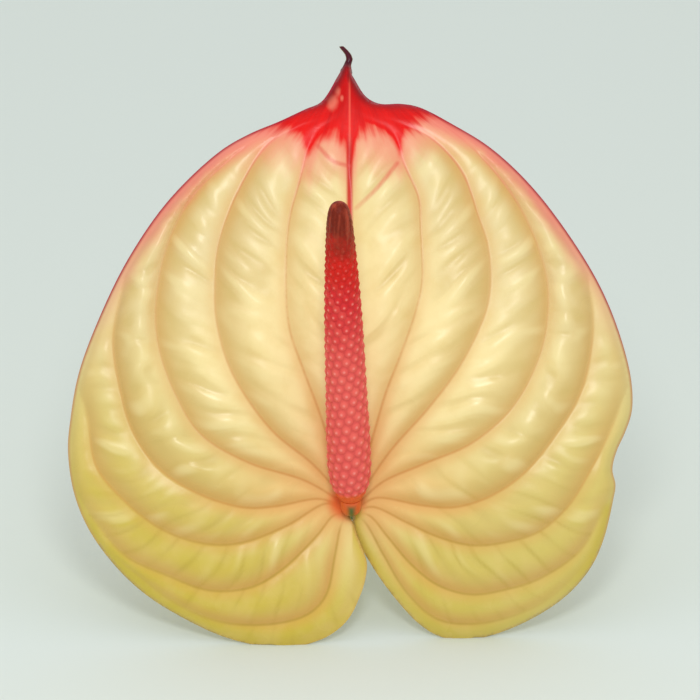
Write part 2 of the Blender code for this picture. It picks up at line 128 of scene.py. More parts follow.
RIGHT_VEINS = [
    [(5.3, 17.1), (7.7, 25.2), (10.9, 33.4), (14.2, 42.9), (15.6, 49.5), (15.3, 61.2), (14.9, 67.8),
     (11.8, 75.2), (9.5, 81.8), (5.2, 86.4)],
    [(8.5, 12.0), (17.1, 21.8), (24.2, 31.4), (29.6, 42.9), (30.7, 50.0), (30.0, 57.8), (28.2, 63.4),
     (24.2, 74.1), (17.5, 81.2), (9.5, 85.2)],
    [(6.9, 5.3), (15.8, 9.3), (26.9, 14.2), (35.8, 22.2), (41.6, 33.4), (43.3, 42.5), (42.9, 51.2),
     (37.6, 65.2), (29.0, 76.8), (20.0, 84.2), (13.0, 87.0)],
    [(5.5, 1.8), (15.8, 0.2), (22.6, -0.2), (30.3, 2.1), (38.0, 7.3), (45.7, 16.7), (50.8, 25.7),
     (53.3, 38.5)],
    [(5.0, -0.2), (12.3, -3.6), (18.8, -6.6), (26.5, -8.6), (34.2, -7.9), (41.4, -5.6), (47.8, 0.0),
     (52.6, 7.7), (56.4, 15.1)],
    [(4.2, -2.2), (8.1, -6.8), (13.2, -12.8), (19.2, -17.5), (26.5, -19.6), (34.6, -18.4), (41.4, -16.2),
     (50.6, -9.8)],
    [(3.2, -3.8), (7.1, -10.7), (12.3, -19.2), (19.2, -25.2), (27.8, -26.2), (35.5, -24.6),
     (42.3, -21.7), (48.4, -16.6)],
]
STRANDS_FROM = {4: 50.0, 5: 25.0, 6: 1.5, 7: -9.0}
STRAND_GAP = (0.35, 0.22)
STRANDS_NARROW = (66.0, 86.0)
GATHER_FROM = 0.84
GATHER_TO = 0.92
NECK = [(-2.6, 95.9), (-0.9, 96.3), (0.4, 95.3)]
TAIL = [
    ((-0.8, 97.4), 0.75), ((-0.3, 98.6), 0.55), ((-0.6, 99.7), 0.45), ((-1.3, 100.6), 0.4),
    ((-2.1, 101.4), 0.35),
]
TAIL_ROW = 0.01
TAIL_THICKNESS = 0.5

# The fine blade: its mesh, its rounded edge and the roll of its rim
MESH_STEP = 0.58
GRID_CLEARANCE = 0.62
VEIN_STEP = 0.5
FINE_STEP = 0.12
BESIDE_VEIN = (0.3, 0.65)
BESIDE_SPACING = 0.26
EDGE_ROUND = 0.2
ROLL_WIDTH = 2.6
RIB_WIDTH = 0.7
GROOVE_WIDTH = 0.55
FADE_TO_RIM = 4.5
VEIN_FADE_STEPS = 150.0
BACK_ROUNDS = 4

# Its relief between the veins: cross veins and the puckers between them, and soft unevenness, each with
# the size of its noise. It fades towards the ring, the end of the rows and the tip.
CREST_SHIFT = 1.3
FOOT_FADE = 0.12
END_FADE = 0.3
TIP_FADE = (91.0, -14.0)
CROSS_SPACING = 5.4
CROSS_SLANT = 0.85
CROSS_WARP = 0.45
WARP_SIZE = 11.0
BAND_SHIFT = 0.37
CROSS_WIDTH = 0.5
PUCKER = 0.28
UNEVEN_SIZE = 9.0
FOLDS = 0.4
FOLD_SIZE = 3.7
DENTS = 0.2
DENT_SIZE = 6.5
CREPE = 0.04
CREPE_SIZE = 2.2

# The red tip's lower edge from left to right, pale spots painted as highlights on the tip (centre and
# size), and two veins that link the midrib to its neighbours there
RED_EDGE = [
    (-34.0, 84.0), (-19.8, 84.6), (-14.2, 83.6), (-11.3, 82.1), (-9.1, 78.5), (-7.8, 80.5), (-6.0, 81.8),
    (-3.3, 81.0), (-1.3, 79.6), (-0.2, 77.2), (0.9, 79.8), (1.6, 82.7), (4.2, 83.4), (7.6, 82.7),
    (9.6, 81.4), (10.7, 79.4), (11.8, 82.5), (14.2, 84.7), (17.6, 86.9), (30.0, 90.0),
]
PAINTED_TIP_HIGHLIGHTS = [((-4.0, 88.9), 1.5), ((-2.9, 91.6), 1.0), ((-2.0, 90.0), 0.6)]
LINK_VEINS = [
    [(-7.3, 79.4), (-4.0, 76.1), (-0.2, 74.9)],
    [(10.2, 75.6), (7.6, 72.3), (5.3, 69.6), (1.1, 65.6)],
]

# The spadix, as in the CAD source, and its fine grid. Its florets sit on two spirals, each given by one
# floret's turn and rise, and go once round after 14 of one and 10 of the other.
SPADIX_ANGLE = math.radians(30.0)
SPADIX_SWAY = math.radians(2.3)
FINE_SEAT_GAP = 0.06
SPADIX_OUTLINE = [
    (0.0, 2.2), (0.9, 2.9), (2.2, 3.7), (4.4, 4.45), (6.9, 4.85), (10.8, 4.98), (17.2, 4.96),
    (25.0, 4.74), (37.7, 4.5), (50.6, 4.1), (61.7, 3.5), (67.5, 3.1), (71.0, 2.7), (72.9, 2.2),
    (73.8, 1.65), (74.3, 0.95), (74.5, 0.0),
]
FLORETS_UP = (math.radians(8.0), 1.4)
FLORETS_ASIDE = (math.radians(-20.0), 1.0)
ONCE_ROUND = (14, 10)
FLORET_RISE = 0.348
FLORET_DEPTH = 0.24
SMALLEST_FLORET = 1.9
FLORET_REACH = 1.12
PILLOW_POWER = 2.6
WIDEST = 4.98
STIGMA_RADIUS = 0.55
STIGMA_HEIGHT = 0.12
BARE_TIP_ROWS = 4.0
RIPENING_ROWS = 10.0
SPADIX_ROWS = 430
SPADIX_SIDES = 216

# The stalk, as in the CAD source but for a neck that fills the blade's ring, its fine grid, and the dark
# green wedge of painted shade on the neck
STALK_LENGTH = 290.0
CUT_RADIUS = 3.25
NECK_RADIUS = 2.27
SHOULDER_START = 8.0
SHOULDER_LENGTH = 4.0
NECK_BEND = 3.4
NECK_START = -6.4
STRAIGHT_RUN = 14.0
STALK_BOW = 9.0
CUT_SLANT = 1.2
STALK_SIDES = 48
CAD_STALK_SIDES = 16
NECK_STEPS = 12
STRAIGHT_STEPS = 20
BEND_STEPS = 40
LYING_STEPS = 80
SHADE_WEDGE_MIDDLE = 0.1
SHADE_WEDGE_WIDTH = 0.9

# The studio: half the floor's side in metres, the white surround, and each light's place and target,
# its size in metres and its power in watts
FLOOR_HALF = 3.0
SURROUND = 0.78
LIGHTS = {
    "front_light": ((0.0, 160.0, 560.0), (0.0, 30.0, 0.0), 0.11, 0.9),
    "top_light": ((0.0, 2200.0, 1500.0), (0.0, 0.0, 0.0), 2.4, 4.0),
}


def smooth(x):
    """An eased step from 0 to 1."""
    x = np.clip(x, 0.0, 1.0)
    return x * x * (3.0 - 2.0 * x)


def past(v, run):
    """How far v is past a run's start, as a share of its length, which is negative where it goes down."""
    start, length = run
    return (v - start) / length


def to_table(points):
    """Points of the bloom's own frame, as (u, v, w), in the part's frame, still in millimetres."""
    points = np.asarray(points, float)
    return np.array(BASE_POINT) + points @ np.array([FACE_RIGHT, FACE_UP, FACE_OUT])


def from_table(spot):
    """The (u, v, w) of a point in the part's frame, in millimetres."""
    return np.array([FACE_RIGHT, FACE_UP, FACE_OUT]) @ (np.asarray(spot) - np.array(BASE_POINT))


def smooth_curve(points, samples=500):
    """A smooth curve through given points, with tangents from their neighbours."""
    p = np.array(points, float)
    steps = np.sqrt(np.linalg.norm(np.diff(p, axis=0), axis=1))
    knots = np.concatenate([[0.0], np.cumsum(steps)])
    slope = np.gradient(p, knots, axis=0)
    x = np.linspace(0.0, knots[-1], samples)
    i = np.clip(np.searchsorted(knots, x, side="right") - 1, 0, len(knots) - 2)
    h = (knots[i + 1] - knots[i])[:, None]
    f = (x - knots[i])[:, None] / h
    start = (1 + 2 * f) * (1 - f) ** 2 * p[i] + f * (1 - f) ** 2 * h * slope[i]
    end = f * f * (3 - 2 * f) * p[i + 1] - f * f * (1 - f) * h * slope[i + 1]
    return start + end


def lengths_along(curve):
    """The curve's length from its start to each of its points."""
    steps = np.linalg.norm(np.diff(curve, axis=0), axis=1)
    return np.concatenate([[0.0], np.cumsum(steps)])


def evenly(curve, step):
    """The curve again, as points about one step apart."""
    length = lengths_along(curve)
    count = max(int(round(length[-1] / step)), 1)
    run = np.linspace(0.0, length[-1], count + 1)
    return np.stack([np.interp(run, length, curve[:, k]) for k in range(curve.shape[1])], axis=1)


def points_by_row(curve, steps, start_speed, end_speed):
    """Points along a curve in steps, from one speed to another, in millimetres for the whole count."""
    length = lengths_along(curve)
    whole = length[-1]
    s = np.linspace(0.0, 1.0, steps + 1)
    start_speed = min(start_speed, TOP_SPEED * whole)
    end_speed = min(end_speed, TOP_SPEED * whole)
    run = whole * s * s * (3 - 2 * s) + start_speed * s * (1 - s) ** 2 - end_speed * s * s * (1 - s)
    return np.stack([np.interp(run, length, curve[:, k]) for k in (0, 1)], axis=1)


def inward(curve, side):
    """Unit vectors in the blade's plane that point from the rim to its inside."""
    run = np.gradient(curve, axis=0)
    run /= np.linalg.norm(run, axis=1)[:, None]
    return np.stack([run[:, 1], -run[:, 0]], axis=1) * -side


def ring_point(number, side):
    """Where a line of the blade leaves the ring round the stalk."""
    angle = math.pi / 2 - side * RING_SPREAD * number / VEINS
    return (FINE_RING_RADIUS * math.cos(angle), FINE_RING_RADIUS * math.sin(angle))


def neck_point(number, side):
    """Where a line of the blade reaches the narrow place between cone and tail."""
    edge = np.array(NECK[0] if side < 0 else NECK[2])
    return tuple(np.array(NECK[1]) + (edge - NECK[1]) * number / VEINS)


def whole_curve(points, number, side):
    return smooth_curve([ring_point(number, side), *points, neck_point(number, side)])


def joining_line(points, number, side, rim):
    """Row points of a vein that joins the rim and runs on beside it, row by row, and the joining row."""
    gap = np.interp(rim[:, 1], STRANDS_NARROW, STRAND_GAP)
    beside = rim + inward(rim, side) * gap[:, None] * (VEINS - number)
    past_lobe = np.arange(len(rim)) > np.argmin(rim[:, 1])
    join = int(np.argmax(past_lobe & (rim[:, 1] > STRANDS_FROM[number])))
    curve = smooth_curve([ring_point(number, side), *points, tuple(beside[join])])
    rim_speed = np.linalg.norm(beside[join + 1] - beside[join]) * join
    own = points_by_row(curve, join, ROW_REACH * join / ROWS, rim_speed)
    return np.concatenate([own[:-1], beside[join:]]), join


def row_lines(side):
    """A half's nine lines by row, from the midrib (0) to the rim (8), and where each joins the rim."""
    rim_points = LEFT_RIM if side < 0 else RIGHT_RIM
    rim = points_by_row(whole_curve(rim_points, VEINS, side), ROWS, ROW_REACH, ROW_REACH)
    midrib = points_by_row(whole_curve(MIDRIB, 0, side), ROWS, ROW_REACH, ROW_REACH)
    s = np.linspace(0.0, 1.0, len(rim))[:, None]
    gather = smooth((s - GATHER_FROM) / (GATHER_TO - GATHER_FROM))
    lines = [midrib]
    joins = [ROWS]
    for number, points in enumerate(LEFT_VEINS if side < 0 else RIGHT_VEINS, start=1):
        join = ROWS
        if number in STRANDS_FROM:
            line, join = joining_line(points, number, side, rim)
        else:
            line = points_by_row(whole_curve(points, number, side), ROWS, ROW_REACH, ROW_REACH)
        evenly_spaced = midrib + (rim - midrib) * number / VEINS
        lines.append(line * (1 - gather) + evenly_spaced * gather)
        joins.append(join)
    return lines + [rim], joins + [ROWS]


class HalfMap:
    """One half of the blade: for any point of its plan, how far it is along and across the veins."""

    def __init__(self, side):
        self.side = side
        self.lines, self.joins = row_lines(side)
        self.rows = np.linspace(0.0, 1.0, ROWS + 1)
        plan, places = self.grid()
        tail = []
        for middle, half_width in TAIL:
            across = np.stack([side * half_width * places / VEINS, np.zeros(len(places))], axis=1)
            tail.append(np.array(middle) + across)
        plan = np.concatenate([plan, np.stack(tail)])
        along = np.concatenate([self.rows, 1.0 + np.arange(1, len(TAIL) + 1) * TAIL_ROW])
        self.knots = plan.reshape(-1, 2)
        self.place = np.tile(places, len(plan))
        self.along = np.repeat(along, len(places))
        columns = len(places)
        faces = []
        for i in range(len(plan) - 1):
            for j in range(columns - 1):
                a = i * columns + j
                faces.append((a, a + 1, a + columns + 1))
                faces.append((a, a + columns + 1, a + columns))
        self.faces = np.array(faces)
        flat = [Vector((x, y, 0.0)) for x, y in self.knots]
        self.tree = BVHTree.FromPolygons(flat, faces)

    def grid(self):
        columns = []
        places = []
        for number in range(VEINS):
            for cell in range(CELLS_PER_BAND + (number == VEINS - 1)):
                part = cell / CELLS_PER_BAND
                columns.append(self.lines[number] * (1 - part) + self.lines[number + 1] * part)
                places.append(number + part)
        return np.stack(columns, axis=1), np.array(places)

    def read(self, points):
        """Row share and place (0 at the midrib, 8 at the rim) of each point."""
        hits = [self.tree.find_nearest(Vector((x, y, 0.0))) for x, y in points]
        spots = np.array([hit[0][:2] for hit in hits])
        corners = self.faces[[hit[2] for hit in hits]]
        a, b, c = (self.knots[corners[:, k]] for k in range(3))
        ab = b - a
        ac = c - a
        ap = spots - a
        area = ab[:, 0] * ac[:, 1] - ab[:, 1] * ac[:, 0]
        area = np.where(np.abs(area) < 1e-9, 1e-9, area)
        wb = np.clip((ap[:, 0] * ac[:, 1] - ap[:, 1] * ac[:, 0]) / area, 0.0, 1.0)
        wc = np.clip((ab[:, 0] * ap[:, 1] - ab[:, 1] * ap[:, 0]) / area, 0.0, 1.0)
        weights = np.stack([np.clip(1 - wb - wc, 0.0, 1.0), wb, wc], axis=1)
        weights /= weights.sum(axis=1)[:, None]
        along = (self.along[corners] * weights).sum(axis=1)
        place = (self.place[corners] * weights).sum(axis=1)
        return along, place

    def bands(self, along, place):
        """Each point's band number and its part of the way across it, and the band's width and run."""
        number = np.clip(np.floor(place), 0, VEINS - 1).astype(int)
        width = np.zeros(len(place))
        run = np.zeros(len(place))
        for band in range(VEINS):
            first = self.lines[band]
            last = self.lines[band + 1]
            here = number == band
            width[here] = np.interp(along[here], self.rows, np.linalg.norm(last - first, axis=1))
            run[here] = np.interp(along[here], self.rows, lengths_along((first + last) / 2))
        return number, place - number, width, run

    def rim_line(self):
        rim_points = LEFT_RIM if self.side < 0 else RIGHT_RIM
        rim = evenly(whole_curve(rim_points, VEINS, self.side), VEIN_STEP)
        return rim + inward(rim, self.side) * EDGE_ROUND

    def outline(self):
        """The half's closed outline: up the midrib and the tail, down the tail's edge, rim and ring."""
        middle = [np.array(spot) for spot, _ in TAIL]
        edge = [np.array((x + self.side * w, y)) for (x, y), w in TAIL]
        up = evenly(np.concatenate([whole_curve(MIDRIB, 0, self.side), middle]), VEIN_STEP)
        down = evenly(np.array([*edge[::-1], neck_point(VEINS, self.side)]), VEIN_STEP)
        rim = self.rim_line()[::-1]
        ring = np.array([ring_point(k, self.side) for k in np.linspace(VEINS, 0, 17)])
        return np.concatenate([up, down[:-1], rim[:-1], ring[:-1]])

    def vein_lines(self):
        """The veins between midrib and rim, each up to where it has joined the rim."""
        rim = self.lines[VEINS]
        found = []
        for number in range(1, VEINS):
            line = self.lines[number][: self.joins[number] + 1]
            away = np.linalg.norm(rim[: len(line)] - line, axis=1) > 1.0
            away &= np.arange(len(line)) < GATHER_TO * ROWS
            found.append(evenly(line[away], VEIN_STEP))
        return found


def nearest(points, samples):
    """Distance of each point to the nearest of the samples, and that sample's number."""
    tree = kdtree.KDTree(len(samples))
    for number, (x, y) in enumerate(samples):
        tree.insert((x, y, 0.0), number)
    tree.balance()
    found = [tree.find((x, y, 0.0)) for x, y in points]
    return np.array([f[2] for f in found]), np.array([f[1] for f in found])


def near(points, samples):
    return nearest(points, samples)[0]


def inside(points, outline):
    """Which points lie inside a closed outline."""
    x, y = points[:, 0], points[:, 1]
    count = np.zeros(len(points), int)
    for (x1, y1), (x2, y2) in zip(outline, np.roll(outline, -1, axis=0)):
        crosses = (y1 > y) != (y2 > y)
        if y1 != y2:
            count += crosses & (x < (x2 - x1) * (y - y1) / (y2 - y1) + x1)
    return count % 2 == 1


def half_mesh(half):
    """Plan points and triangles of one half blade, with its veins running along edges."""
    outline = half.outline()
    veins = half.vein_lines()
    beside = beside_veins(half, veins, outline)
    low = outline.min(axis=0)
    high = outline.max(axis=0)
    rise = MESH_STEP * math.sqrt(0.75)
    rows = int((high[1] - low[1]) / rise) + 1
    grid = []
    for row in range(rows):
        start = low[0] + MESH_STEP * (0.25 + 0.5 * (row % 2))
        xs = np.arange(start, high[0], MESH_STEP)
        grid.append(np.stack([xs, np.full(len(xs), low[1] + rise * row)], axis=1))
    grid = np.concatenate(grid)
    grid = grid[inside(grid, outline)]
    held = np.concatenate([outline, *veins, beside])
    grid = grid[near(grid, held) > GRID_CLEARANCE * MESH_STEP]
    coords = np.concatenate([held, grid])
    edges = []
    start = len(outline)
    for vein in veins:
        edges += [(start + k, start + k + 1) for k in range(len(vein) - 1)]
        start += len(vein)
    face = list(range(len(outline)))
    made = delaunay_2d_cdt([Vector(p) for p in coords], edges, [face], 1, 1e-4)
    return np.array([tuple(v) for v in made[0]]), [tuple(f) for f in made[2]]


def beside_veins(half, veins, outline):
    """Points in even rows on both sides of each vein, where no other line is near."""
    midrib = evenly(whole_curve(MIDRIB, 0, half.side), VEIN_STEP)
    found = []
    for gap in BESIDE_VEIN:
        for way in (-1, 1):
            for vein in veins:
                found.append(vein + inward(vein, way) * gap)
        found.append(midrib + np.array((half.side * gap, 0.0)))
    spots = np.concatenate(found)
    spots = spots[near(spots, np.concatenate([*veins, midrib])) > 0.93 * BESIDE_VEIN[0]]
    spots = spots[inside(spots, outline)]
    spots = spots[near(spots, outline) > BESIDE_VEIN[0]]
    return thin_out(spots, BESIDE_SPACING)


def thin_out(spots, gap):
    """The points again without those that come too close to an earlier one."""
    taken = {}
    kept = []
    for x, y in spots:
        i, j = math.floor(x / gap), math.floor(y / gap)
        close = [q for a in (-1, 0, 1) for b in (-1, 0, 1) for q in taken.get((i + a, j + b), [])]
        if all(math.hypot(x - p, y - q) >= gap for p, q in close):
            taken.setdefault((i, j), []).append((x, y))
            kept.append((x, y))
    return np.array(kept)


def crepe(points, size, seed):
    """Smooth noise between -1 and 1 over the plan."""
    return np.array([noise.noise(Vector((x / size, y / size, seed))) for x, y in points])


def main_form(half, points, place, rim_gap):
    """The height without relief: funnel, drooping sides, tip and lobes, rolled rim and cone."""
    u, v = points[:, 0], points[:, 1]
    t = place / VEINS
    height = -FUNNEL_DEPTH * np.exp(-((np.hypot(u, v) / FUNNEL_RADIUS) ** 2))
    height -= SIDE_DROP * (u / HALF_WIDTH) ** 2
    height -= TOP_DROP * np.clip(past(v, TOP_RUN), 0.0, 1.2) ** 2
    height -= LOBE_DROP[half.side] * np.clip(past(v, LOBE_RUN), 0.0, 1.2) ** 1.5
    rolled = np.maximum(np.clip(4 * t - 3, 0.0, 1.0), np.clip(1 - rim_gap / ROLL_WIDTH, 0.0, 1.0)) ** 2
    height -= RIM_CURL * smooth(past(v, CURL_RUN)) * rolled
    height -= CONE_ROLL * t**2 * smooth(past(v, CONE_RUN)) * smooth(past(v, CONE_END))
    height -= half.side * SINUS_STEP * np.exp(-(past(v, SINUS_RUN) ** 2)) * smooth(3 * t - 2)
    return height


def blade_relief(half, points, along, place, rim_gap, vein_gap):
    """The bulges and puckers between the veins, and how strongly each point shows the guides for them:
    cross veins, painted shade on the bands' outer sides, and painted shade and highlights on the folds.
    """
    number, part, width, run = half.bands(along, place)
    fade = smooth(along / FOOT_FADE) * smooth((1 - along) / END_FADE)
    fade = fade * smooth(past(points[:, 1], TIP_FADE))
    groove = 1.0 - np.exp(-((vein_gap / GROOVE_WIDTH) ** 2))
    crest = part**CREST_SHIFT
    hump = (4 * crest * (1 - crest)).clip(0.0, 1.0)
    calm = smooth(rim_gap / FADE_TO_RIM) ** 0.5 * smooth((width - 0.6) / 3.0)
    warp = CROSS_WARP * crepe(points, WARP_SIZE, seed=3.0 + half.side)
    phase = (run - CROSS_SLANT * part * width) / CROSS_SPACING + warp + BAND_SHIFT * number
    off_cross = np.abs(phase - np.round(phase)) * CROSS_SPACING
    wide = np.clip((width - 3.0) / 6.0, 0.0, 1.0)
    outer = np.clip(place / 2.5, 0.35, 1.0)
    uneven = np.clip(0.45 + 1.3 * crepe(points, UNEVEN_SIZE, seed=7.5), 0.0, 1.2)
    pillow = np.abs(np.sin(math.pi * phase)) ** 0.9 - 0.6
    across = part * width * 0.4 + 29.0 * number
    folds = crepe(np.stack([phase * CROSS_SPACING, across], axis=1), FOLD_SIZE, seed=5.0)
    puckers = (PUCKER * pillow * uneven * outer + FOLDS * folds) * hump * wide
    dents = DENTS * crepe(points, DENT_SIZE, seed=11.5) * hump**0.5 * np.clip(width / 10.0, 0.2, 1.0)
    fine = CREPE * crepe(points, CREPE_SIZE, seed=1.5) * hump
    relief = (BULGE * width * hump**0.9 * groove + puckers + dents + fine) * calm
    cross = np.exp(-((off_cross / CROSS_WIDTH) ** 2)) * wide * outer * fade
    # Painted shade: darker towards each band's outer vein and in the vein's groove, less by the midrib.
    flank_shade = smooth((part - 0.42) / 0.52) * np.clip(width / 8.0, 0.0, 1.0) * fade * calm
    off_vein = 1.0 - np.exp(-((vein_gap / 0.3) ** 2))
    flank_shade = flank_shade * off_vein + 0.6 * (1.0 - off_vein) * fade * calm
    flank_shade = flank_shade * np.where(number == 0, 0.4, 1.0)
    # Painted shade in the folds' hollows and painted highlights on their crests.
    fold_shade_and_highlight = (folds + 0.35 * pillow * uneven) * hump**0.5 * wide * calm * fade
    return relief * fade, cross, flank_shade, fold_shade_and_highlight


def rib_thickness(along, place, vein_gap):
    """The blade's thickness, more at the veins, where ribs stand out of its back."""
    on_rim = np.clip(place - 7.0, 0.0, 1.0)
    thickness = BLADE_THICKNESS + (RIM_THICKNESS - BLADE_THICKNESS) * on_rim
    s = np.clip(along, 0.0, 1.0)
    rib = RIB_HEIGHT * (1 - 0.6 * s) * smooth((1 - s) / 0.2)
    thickness = thickness + rib * np.exp(-((vein_gap / RIB_WIDTH) ** 2))
    tail = np.clip((along - 1.0) / (TAIL_ROW * len(TAIL)), 0.0, 1.0)
    return thickness * (1 - tail) + TAIL_THICKNESS * tail


def blade_guides(half, plan):
    """The height of each point of one half, and what it carries for its thickness and its painting."""
    along, place = half.read(plan)
    fine = [evenly(line, FINE_STEP) for line in half.vein_lines()]
    ends = [smooth(np.arange(len(line))[::-1] / VEIN_FADE_STEPS) for line in fine]
    fine.append(evenly(whole_curve(MIDRIB, 0, half.side), FINE_STEP))
    ends.append(np.ones(len(fine[-1])))
    vein_gap, vein_spot = nearest(plan, np.concatenate(fine))
    rim_gap = near(plan, evenly(half.rim_line(), FINE_STEP))
    relief, cross, flank_shade, fold_shade_and_highlight = blade_relief(half, plan, along, place, rim_gap, vein_gap)
    links = np.concatenate([evenly(smooth_curve(line), FINE_STEP) for line in LINK_VEINS])
    edge_u, edge_v = np.array(RED_EDGE).T
    guides = {
        "thick": rib_thickness(along, place, vein_gap),
        "place": place,
        "vein": vein_gap,
        "rim": rim_gap,
        "cross": cross,
        "flank_shade": flank_shade,
        "fold_shade_and_highlight": fold_shade_and_highlight,
        "red": plan[:, 1] - np.interp(plan[:, 0], edge_u, edge_v),
        "link": near(plan, links),
        "strength": np.concatenate(ends)[vein_spot] * smooth((rim_gap - 0.8) / 3.4),
    }
    return main_form(half, plan, place, rim_gap) + relief, guides


def make_blade():
    """The whole blade as one closed mesh with its painting guides as point attributes."""
    points = []
    heights = []
    faces = []
    guides = {}
    for side in (-1, 1):
        half = HalfMap(side)
        plan, triangles = half_mesh(half)
        height, values = blade_guides(half, plan)
        start = sum(len(p) for p in points)
        faces += [tuple(start + k for k in face) for face in triangles]
        points.append(plan)
        heights.append(height)
        for name in values:
            guides.setdefault(name, []).append(values[name])
    guides = {name: np.concatenate(values) for name, values in guides.items()}
    return close_blade(np.concatenate(points), np.concatenate(heights), faces, guides)


def add_points(bm, spots, guides):
    """New vertices at the spots, each with its values of the guides."""
    layers = {name: bm.verts.layers.float.new(name) for name in guides}
    verts = []
    for k, spot in enumerate(spots):
        vert = bm.verts.new(spot)
        for name, layer in layers.items():
            vert[layer] = guides[name][k]
        verts.append(vert)
    return verts, layers


def add_tube(bm, rings):
    """Faces round a tube from ring to ring, and over its first ring."""
    for below, above in zip(rings, rings[1:]):
        for k in range(len(below)):
            n = (k + 1) % len(below)
            bm.faces.new((below[k], below[n], above[n], above[k]))
    bm.faces.new(rings[0][::-1])


def close_blade(plan, heights, faces, guides):
    """Welds the halves along the midrib, then gives the sheet a back and rounded edges."""
    bm = bmesh.new()
    guides = {"u": plan[:, 0], "v": plan[:, 1], "front": np.ones(len(plan)), **guides}
    verts, layers = add_points(bm, np.column_stack([plan, heights]), guides)
    for face in faces:
        bm.faces.new([verts[k] for k in face])
    seam = [v for v in bm.verts if v.is_boundary and v[layers["place"]] < 0.5 and v.co.y > 0.0]
    bmesh.ops.remove_doubles(bm, verts=seam, dist=0.02)
    bm.normal_update()
    if sum(f.normal.z * f.calc_area() for f in bm.faces) < 0.0:
        bmesh.ops.reverse_faces(bm, faces=bm.faces)
        bm.normal_update()
    bm.verts.index_update()
    normals = calm_normals(bm, BACK_ROUNDS)
    front = list(bm.verts)
    sheet = list(bm.faces)
    edges = [e for e in bm.edges if e.is_boundary]
    back = {}
    for vert in front:
        depth = vert[layers["thick"]]
        back[vert] = twin_of(bm, vert, vert.co - Vector(normals[vert.index]) * depth, layers, 0.0)
    middle = {}
    for edge in edges:
        loop = edge.link_loops[0]
        a, b = loop.vert, loop.link_loop_next.vert
        along = (b.co - a.co).normalized()
        outward = along.cross(loop.face.normal).normalized()
        for vert in (a, b):
            if vert not in middle:
                middle[vert] = (twin_of(bm, vert, (vert.co + back[vert].co) / 2, layers, 0.5), [])
            middle[vert][1].append(outward)
    for twin, ways in middle.values():
        way = sum(ways, Vector()).normalized()
        twin.co += way * EDGE_ROUND
    for edge in edges:
        loop = edge.link_loops[0]
        a, b = loop.vert, loop.link_loop_next.vert
        ma, mb = middle[a][0], middle[b][0]
        bm.faces.new((b, a, ma, mb))
        bm.faces.new((mb, ma, back[a], back[b]))
    for face in sheet:
        bm.faces.new([back[v] for v in reversed(face.verts)])
    for vert in bm.verts:
        co = to_table(vert.co)
        co[2] = max(co[2], 0.0)
        vert.co = Vector(co * MM)
    return bm


def twin_of(bm, vert, spot, layers, front):
    """A new vertex at a spot with another one's painting guides."""
    twin = bm.verts.new(spot)
    for layer in layers.values():
        twin[layer] = vert[layer]
    twin[layers["front"]] = front
    return twin


def calm_normals(bm, rounds):
    """The sheet's normals, evened out among neighbours, so that its back doesn't fold."""
    normals = np.array([tuple(v.normal) for v in bm.verts])
    ends = np.array([(e.verts[0].index, e.verts[1].index) for e in bm.edges])
    for _ in range(rounds):
        total = normals.copy()
        np.add.at(total, ends[:, 0], normals[ends[:, 1]])
        np.add.at(total, ends[:, 1], normals[ends[:, 0]])
        normals = total / np.linalg.norm(total, axis=1)[:, None]
    return normals


def spadix_frame():
    """Foot centre of the spadix and its axes: along it, to its right and towards the viewer."""
    along = np.array((
        -math.sin(SPADIX_SWAY) * math.cos(SPADIX_ANGLE),
        math.cos(SPADIX_SWAY) * math.cos(SPADIX_ANGLE),
        math.sin(SPADIX_ANGLE),
    ))
    out = np.array((0.0, 0.0, 1.0))
    right = np.cross(along, out)
    right /= np.linalg.norm(right)
    front = np.cross(right, along)
    foot = neck_points(1)[-1] + along * FINE_SEAT_GAP
    return foot, along, right, front


def make_spadix():
    """The spike as a fine grid: each floret of the spirals is a low pillow with a stigma on top."""
    foot, along, right, front = spadix_frame()
    outline = smooth_curve(SPADIX_OUTLINE, 1500)
    pitch = FLORET_RISE * np.maximum(outline[:, 1], SMALLEST_FLORET)
    climb = np.concatenate([[0.0], np.cumsum(np.diff(outline[:, 0]) / pitch[1:])])
    levels = np.linspace(0.0, climb[-1], SPADIX_ROWS)
    angles = 2 * math.pi * np.arange(SPADIX_SIDES) / SPADIX_SIDES
    level, angle = np.meshgrid(levels, angles, indexing="ij")
    height = np.interp(level, climb, outline[:, 0])
    radius = np.interp(level, climb, outline[:, 1])
    rise = FLORET_RISE * np.maximum(radius, SMALLEST_FLORET)
    away, kind = nearest_floret(angle, level, np.maximum(radius, 0.4), rise)
    size = np.minimum(radius / 4.0, 1.0) * smooth(level / 3)
    reach = FLORET_REACH * rise / FLORET_RISE / WIDEST
    pillow = np.clip(away / reach, 0.0, 1.2) ** PILLOW_POWER
    dot = smooth(1.0 - away / (STIGMA_RADIUS * reach / FLORET_REACH))
    ripe = smooth((climb[-1] - level - BARE_TIP_ROWS) / RIPENING_ROWS)
    grown = radius - FLORET_DEPTH * size * pillow * (0.35 + 0.65 * ripe)
    grown = grown + STIGMA_HEIGHT * dot * size * ripe
    grown = np.maximum(grown - STIGMA_HEIGHT * size, 0.0)
    spoke = np.cos(angle)[..., None] * front + np.sin(angle)[..., None] * right
    spots = foot + along * height[..., None] + spoke * grown[..., None]
    # The gap guide grows from each floret's middle into the hollows between florets, where shade is
    # painted.
    guides = {"up": height.ravel(), "gap": pillow.ravel(), "dot": dot.ravel(), "kind": kind.ravel()}
    bm = bmesh.new()
    verts, _ = add_points(bm, to_table(spots.reshape(-1, 3)) * MM, guides)
    rings = [verts[k : k + SPADIX_SIDES] for k in range(0, len(verts), SPADIX_SIDES)]
    add_tube(bm, rings)
    bmesh.ops.remove_doubles(bm, verts=rings[-1], dist=0.0002)
    return bm


